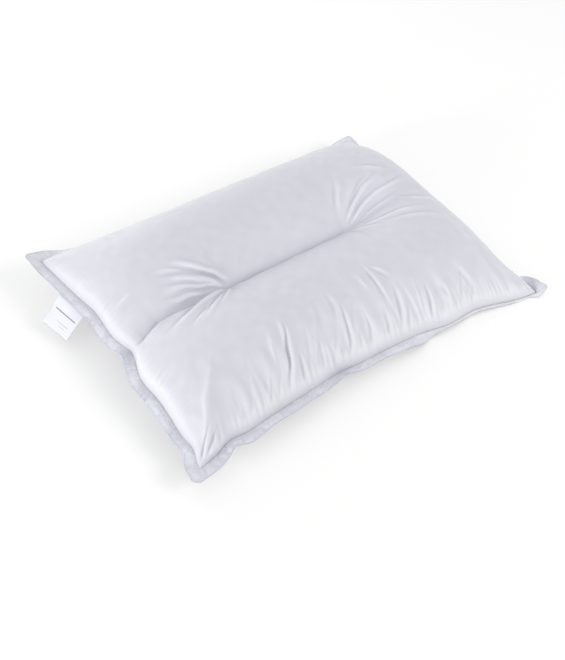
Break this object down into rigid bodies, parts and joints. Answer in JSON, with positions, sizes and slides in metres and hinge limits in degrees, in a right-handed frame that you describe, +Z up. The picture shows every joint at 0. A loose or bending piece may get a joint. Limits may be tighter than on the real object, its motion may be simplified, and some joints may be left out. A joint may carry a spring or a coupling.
{
  "type": "filled bed pillow with a sewn middle line",
  "caption": "Soft rectangular bed pillow lying flat, its long lobes parted by a sewn line along the middle, with a flat double edge all round and a bare label.",
  "frame": {"origin": "on the floor, under the middle of the box round the whole pillow with its label", "axes": "+X along the pillow, away from the label; +Y from the lower long side to the higher one; +Z up"},
  "size_m": [0.6954, 0.4948, 0.1116],
  "materials": {
    "case_cloth": "white, faintly cool, closely woven cover cloth with a soft sheen",
    "edge_cloth": "two layers of the same cloth, slightly greyer and see-through at the edge, with a row of stitches",
    "label_tape": "white satin tape folded double, bare"
  },
  "bodies": {
    "root": {"pillow_body": "case_cloth", "edge_flange": "edge_cloth", "care_label": "label_tape"}
  },
  "joints": []
}
